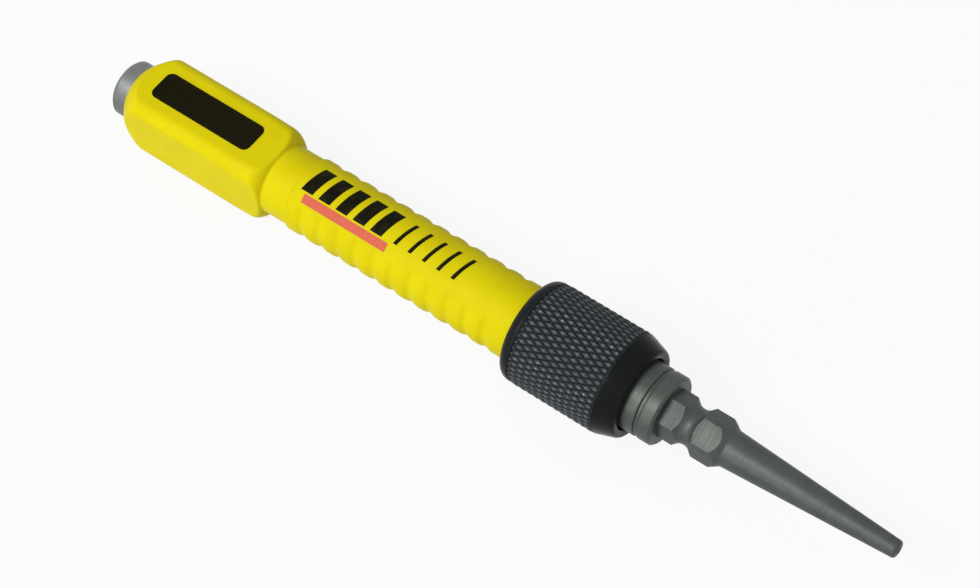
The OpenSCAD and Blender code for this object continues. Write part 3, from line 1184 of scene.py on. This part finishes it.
@dataclass
class Shank:
    """Steel striking end and nose, in one piece with the shaft between them."""

    mouth: float = 119.8
    split: float = 60.0
    bores: tuple[tuple[float, float, float, int], ...] = (
        (93.55, 120.8, 4.711, 6), (79.2, 94.05, 3.75, 64), (57.0, 79.5, 2.95, 64),
    )
    ball_station: float = 100.2
    ball_hole: float = 1.8
    ball_reach: tuple[float, float] = (2.0, 8.5)
    ball_turns: tuple[float, ...] = (90.0, 210.0, 330.0)

    def outline(self) -> Outline:
        """Outline of the turned blank from the striking face to the mouth.

        Returns:
            The outline's points.
        """
        return rounded([
            (0, 0, 0), (0, 4.65, 0.35), (0.7, 5.35, 0.35), (3.4, 5.35, 0), (3.4, 5.0, 0),
            (84.0, 5.0, 0), (84.0, 5.7, 0), (94.4, 5.7, 0), (94.4, 6.55, 0.1),
            (110.95, 6.55, 0.05), (110.95, 6.15, 0), (111.78, 6.15, 0), (111.78, 6.55, 0.05),
            (116.3, 6.55, 0.2), (116.38, 6.12, 0.08), (116.98, 6.12, 0.08), (117.06, 6.55, 0.28),
            (119.35, 6.55, 0.12), (self.mouth, 6.1, 0.1), (self.mouth, 0, 0),
        ], 5)

    def build(self) -> None:
        """Turn, bore, dress and seat the shank."""
        piece = lathe("steel_shank", self.outline(), steps=192)
        for bore in self.bores:
            join_solid(piece, bar("bore_tool", *bore), Joining.CUT)
        inner, outer = self.ball_reach
        for turn in self.ball_turns:
            lone()
            bpy.ops.mesh.primitive_cylinder_add(
                vertices=48, radius=self.ball_hole * MM, depth=(outer - inner) * MM,
                location=(self.ball_station * MM, 0, (inner + outer) / 2 * MM),
            )
            drill = settle(bpy.context.object, "ball_hole_tool")
            angle = math.radians(turn)
            reshape(drill, lambda p, a=angle: Vector((
                p.x, p.y * math.cos(a) - p.z * math.sin(a), p.y * math.sin(a) + p.z * math.cos(a),
            )))
            join_solid(piece, drill, Joining.CUT)
        weld(piece)
        shade(piece, 30)
        seat(piece, CAP_STEEL.material(), Body.TOOL, "shank", "shank")
        piece.data.materials.append(NOSE_STEEL.material())
        for face in piece.data.polygons:
            face.material_index = 0 if face.center.x < self.split * MM else 1


@dataclass
class Bit:
    """Double-ended bit: hexagon, ball grooves and two tapered points."""

    middle: float = 112.375
    groove: float = 124.55
    groove_centre: float = 5.7
    groove_radius: float = 2.2
    corner: float = 4.6188
    blank: float = 4.8
    bevel_start: float = 129.916
    taper_start: float = 131.666
    taper_radius: float = 3.45
    tip: float = 164.666
    tip_radius: float = 1.6
    tip_edge: float = 0.6
    cup: float = 0.75
    cup_depth: float = 0.35
    edge: float = 0.07
    edge_angle: float = 28.0

    def half_outline(self) -> Outline:
        """Outline of one half, from the middle of the hexagon to the tip.

        Returns:
            The outline's points.
        """
        side = math.degrees(math.acos((self.groove_centre - self.blank) / self.groove_radius))
        slope = (self.corner - self.taper_radius) / (self.taper_start - self.bevel_start)
        cup_radius = (self.cup**2 + self.cup_depth**2) / (2 * self.cup_depth)
        open_angle = math.degrees(math.asin(self.cup / cup_radius))
        points: Outline = [(self.middle, self.blank)]
        centre = (self.groove, self.groove_centre)
        points += arc(centre, self.groove_radius, -90 - side, -90 + side, 20)
        points.append((self.bevel_start - (self.blank - self.corner) / slope, self.blank))
        points += rounded([
            (self.bevel_start, self.corner, 0),
            (self.taper_start, self.taper_radius, 1.2),
            (self.tip, self.tip_radius, self.tip_edge),
            (self.tip, self.cup, 0.06),
            (self.tip - self.cup_depth, 0.3, 0),
        ], 6)[1:-1]
        centre = (self.tip - self.cup_depth + cup_radius, 0)
        return points + arc(centre, cup_radius, 180 - open_angle * 0.93, 180, 6)

    def build(self) -> None:
        """Turn the blank, mill the hexagon, dress and seat the bit."""
        half = self.half_outline()
        other = [(2 * self.middle - x, r) for x, r in half[:0:-1]]
        piece = lathe("double_bit", other + half, steps=192)
        mill = bar("hexagon_tool", 2 * self.middle - self.tip - 1, self.tip + 1, self.corner, 6)
        join_solid(piece, mill, Joining.COMMON)
        weld(piece)
        soften(piece, self.edge, self.edge_angle)
        weld(piece)
        shade(piece, self.edge_angle)
        seat(piece, BIT_STEEL.material(), Body.TOOL, "nail_bit", "nail_bit")


@dataclass
class Collar:
    """Knurled collar with its front ring."""

    start: float = 90.2
    rear_edge: float = 1.95
    edge: float = 0.08
    spigot_start: float = 107.7
    collar_end: float = 110.1
    chamber: float = 7.8
    land: float = 6.65
    inside: tuple[tuple[float, float], ...] = (
        (collar_end, 8.4), (spigot_start, 8.4), (spigot_start, chamber), (102.55, chamber),
        (102.55, land), (101.95, land), (101.95, 6.774), (96.2, 7.972), (96.2, land),
        (94.4, land), (94.4, 7.5), (start, 7.5),
    )
    knurl_start: float = 92.45
    knurl_end: float = 109.8
    knurl_root: float = 9.35
    knurl_crest: float = 9.75
    knurl_count: int = 50
    knurl_rows: float = 6.25
    knurl_parts: int = 8
    knurl_blunt: tuple[float, float] = (0.9, 0.3)
    ring_end: float = 113.9
    spigot: float = 8.37
    rim: float = 9.637
    front: float = 8.5
    opening: float = 6.85
    lip_start: float = 111.9

    def knurl_point(self, spot: Vector) -> Vector:
        """Place of a point of the plain collar once its crossed grooves are rolled in.

        Args:
            spot: the point.

        Returns:
            Its new place.
        """
        radius = math.hypot(spot.y, spot.z)
        if radius < self.knurl_crest - self.edge / 2:
            return spot
        across = math.atan2(spot.y, spot.z) / math.tau * self.knurl_count
        along = (spot.x - self.knurl_start) / (self.knurl_end - self.knurl_start) * self.knurl_rows
        ways = (along + across, along - across)
        rises = [1 - abs(2 * (way - math.floor(way)) - 1) for way in ways]
        rise = least(*rises, 0.01) if 0.01 < along < self.knurl_rows - 0.01 else 0
        share = least(rise, *self.knurl_blunt) / least(1, *self.knurl_blunt)
        size = self.knurl_root + (self.knurl_crest - self.knurl_root) * share
        return Vector((spot.x, spot.y * size / radius, spot.z * size / radius))

    def make_collar(self) -> Piece:
        """Collar with its knurl, skirt, ball ramp and spring chamber.

        Returns:
            The finished piece.
        """
        edge, rim, low, high = self.edge, self.rim, self.knurl_start, self.knurl_end
        parts = round(self.knurl_rows * self.knurl_parts)
        step = (high - low) / parts
        centre = (self.start + self.rear_edge, rim - self.rear_edge)
        outline = [*self.inside, *arc(centre, self.rear_edge, 180, 90, 14)]
        outline += [(low - edge, rim), (low, rim - edge)]
        outline += [(low + step * i, self.knurl_crest) for i in range(parts + 1)]
        outline += [(high, rim - edge), (high + edge, rim)]
        outline += [(self.collar_end - edge, rim), (self.collar_end, rim - edge)]
        steps = self.knurl_count * self.knurl_parts
        piece = lathe("knurled_collar", outline, steps=steps, closed=True)
        reshape(piece, self.knurl_point)
        low, high, inside = low * MM, high * MM, (self.spigot + self.knurl_root) / 2 * MM
        mark(piece, "FACE", lambda f: low < f.center.x < high and f.center.yz.length > inside)
        bpy.ops.mesh.quads_convert_to_tris(quad_method="SHORTEST_DIAGONAL")
        leave()
        shade(piece, 20)
        return piece

    def make_ring(self) -> Piece:
        """Plain front ring with its spigot inside the collar.

        Returns:
            The finished piece.
        """
        outline = rounded([
            (self.spigot_start, self.chamber, 0), (self.spigot_start, self.spigot, 0.1),
            (self.collar_end, self.spigot, 0), (self.collar_end, self.rim, 0.15),
            (self.ring_end - 0.35, self.front, 0.7), (self.ring_end, self.front - 0.35, 0.25),
            (self.ring_end, self.opening, 0.55), (self.lip_start, self.opening, 0.1),
            (self.lip_start, self.chamber, 0),
        ], 6)
        piece = lathe("collar_front_ring", outline, steps=192, closed=True)
        shade(piece, 32)
        return piece

    def build(self) -> None:
        """Make, dress and seat the collar and its front ring."""
        seat(self.make_collar(), KNURL_BLACK.material(), Body.COLLAR, "collar", "collar")
        seat(self.make_ring(), RING_BLACK.material(), Body.COLLAR, "front_ring", "front_ring")


@dataclass
class Lock:
    """Balls, spring, washers and retaining ring inside the collar."""

    spring_start: float = 103.05
    spring_end: float = 110.45
    spring_radius: float = 7.1
    wire: float = 0.4
    turns: float = 5.0
    travel: float = 2.4
    washers: tuple[str, ...] = ("thrust_washer", "spring_washer")
    balls: tuple[str, ...] = (
        "locking_ball_right", "locking_ball_upper_left", "locking_ball_lower_left",
    )

    def make_spring(self) -> Piece:
        """Coil spring wound from one round wire.

        Returns:
            The finished piece.
        """
        lone()
        bpy.ops.mesh.primitive_circle_add(
            vertices=14, radius=self.wire * MM,
            location=((self.spring_start + self.wire) * MM, 0, self.spring_radius * MM),
            rotation=(math.pi / 2, 0, 0),
        )
        piece = settle(bpy.context.object, "coil_spring")
        rise = self.spring_end - self.spring_start - 2 * self.wire
        add_modifier(
            piece, "SCREW", axis="X", angle=math.tau * self.turns, screw_offset=rise * MM,
            steps=180, render_steps=180, use_merge_vertices=False,
        )
        edit(piece, whole=True)
        bpy.ops.mesh.fill_holes(sides=16)
        bpy.ops.mesh.normals_make_consistent(inside=False)
        leave()
        shade(piece, 40)
        return piece

    def build(self) -> None:
        """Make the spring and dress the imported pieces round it."""
        bright, polished = BRIGHT_STEEL.material(), BALL_STEEL.material()
        spring = self.make_spring()
        seat(spring, bright, Body.TOOL, "collar_spring", "collar_spring")
        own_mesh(spring)
        # The stop washer takes the darker steel, painted shade for its place in the gap.
        dress_node("stop_washer", SHADED_STOP_STEEL.material())
        for node in self.washers:
            dress_node(node, bright)
        dress_node("retaining_ring", DARK_STEEL.material())
        for node in self.balls:
            dress_node(node, polished)


@dataclass
class Studio:
    """Camera, lamps, world and floor."""

    camera_place: Triple = (0.258657, -0.210682, 0.416182)
    camera_turn: Triple = (33.57896, 2.11744, 36.77898)
    lens: float = 106.53
    near: float = 0.01
    far: float = 20.0
    aim: Triple = (0.09, 0, 0)
    surroundings: Colour = (0.40, 0.40, 0.405)
    contact: tuple[float, float] = (92.4, -9.75)
    gap: float = 0.06
    slope: float = 1.74
    floor_size: float = 6.0
    floor_grey: float = 0.55
    floor_rough: float = 0.7
    floor_white: float = 0.85
    floor_glow: float = 1.05
    lamps: list[tuple[str, Triple, float, float]] = field(default_factory=lambda: [
        ("key", (-0.12, -0.56, 0.74), 0.44, 5.3),
        ("low_light", (-0.1, -0.90, 0.24), 0.26, 1.6),
    ])

    def add_camera(self) -> None:
        """Put the camera where the photograph was taken from."""
        data = bpy.data.cameras.new("camera")
        data.lens = self.lens
        data.clip_start, data.clip_end = self.near, self.far
        camera = bpy.data.objects.new("camera", data)
        camera.location = self.camera_place
        camera.rotation_euler = [math.radians(a) for a in self.camera_turn]
        bpy.context.scene.collection.objects.link(camera)
        bpy.context.scene.camera = camera

    def add_lamps(self) -> None:
        """Hang soft lamps that all look at the middle of the tool."""
        for name, place, size, power in self.lamps:
            data = bpy.data.lights.new(name, "AREA")
            data.shape = "DISK"
            data.size, data.energy = size, power
            lamp = bpy.data.objects.new(name, data)
            lamp.location = place
            way = Vector(self.aim) - Vector(place)
            lamp.rotation_euler = way.to_track_quat("-Z", "Y").to_euler()
            bpy.context.scene.collection.objects.link(lamp)

    def add_world(self) -> None:
        """Grey surroundings that are seen and reflected as white."""
        world = bpy.data.worlds.new("surroundings")
        bpy.context.scene.world = world
        g = Graph(world)
        back, white = g.tree.nodes["Background"], g.node("Background", Color=(1, 1, 1, 1))
        g.fill(back, Color=(*self.surroundings, 1))
        g.fill(g.tree.nodes["World Output"], Surface=g.mixed(g.seen(1.0), back, white).outputs[0])

    def add_floor(self) -> None:
        """Lay a pale floor under the head's rear edge and the collar; from below it is clear."""
        lone()
        bpy.ops.mesh.primitive_plane_add(size=self.floor_size, location=(0, 0, 0))
        floor = settle(bpy.context.object, "floor")
        rise, (station, height) = math.tan(math.radians(self.slope)), self.contact
        low = height - self.gap
        reshape(floor, lambda p: Vector((p.x, p.y, low + rise * (station - p.x))))
        material = bpy.data.materials.new("pale_floor")
        g = Graph(material)
        paint = g.tree.nodes["Principled BSDF"]
        g.fill(paint, Base_Color=(*[self.floor_grey] * 3, 1), Roughness=self.floor_rough)
        glow = g.node("Emission", Strength=self.floor_glow)
        mix = g.mixed(g.seen(self.floor_white), paint, glow)
        below = g.node("NewGeometry").outputs["Backfacing"]
        whole = g.mixed(below, mix, g.node("BsdfTransparent"))
        g.fill(g.tree.nodes["Material Output"], Surface=whole.outputs[0])
        dress(floor, material)

    def build(self) -> None:
        """Set the whole stage."""
        scene = bpy.context.scene
        scene.view_settings.view_transform = "Standard"
        self.add_camera()
        self.add_lamps()
        self.add_world()
        self.add_floor()


def corners(box: tuple[Vector, Vector]) -> list[list[float]]:
    """Plain lists of a box's two corners."""
    return [list(corner) for corner in box]


def main() -> None:
    """Build the tool's looks and its stage."""
    logging.basicConfig(level=logging.INFO, format="%(message)s")
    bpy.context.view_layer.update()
    Studio().build()
    for part in (Handle(), Shank(), Bit(), Collar(), Lock()):
        part.build()


if __name__ == "__main__":
    main()
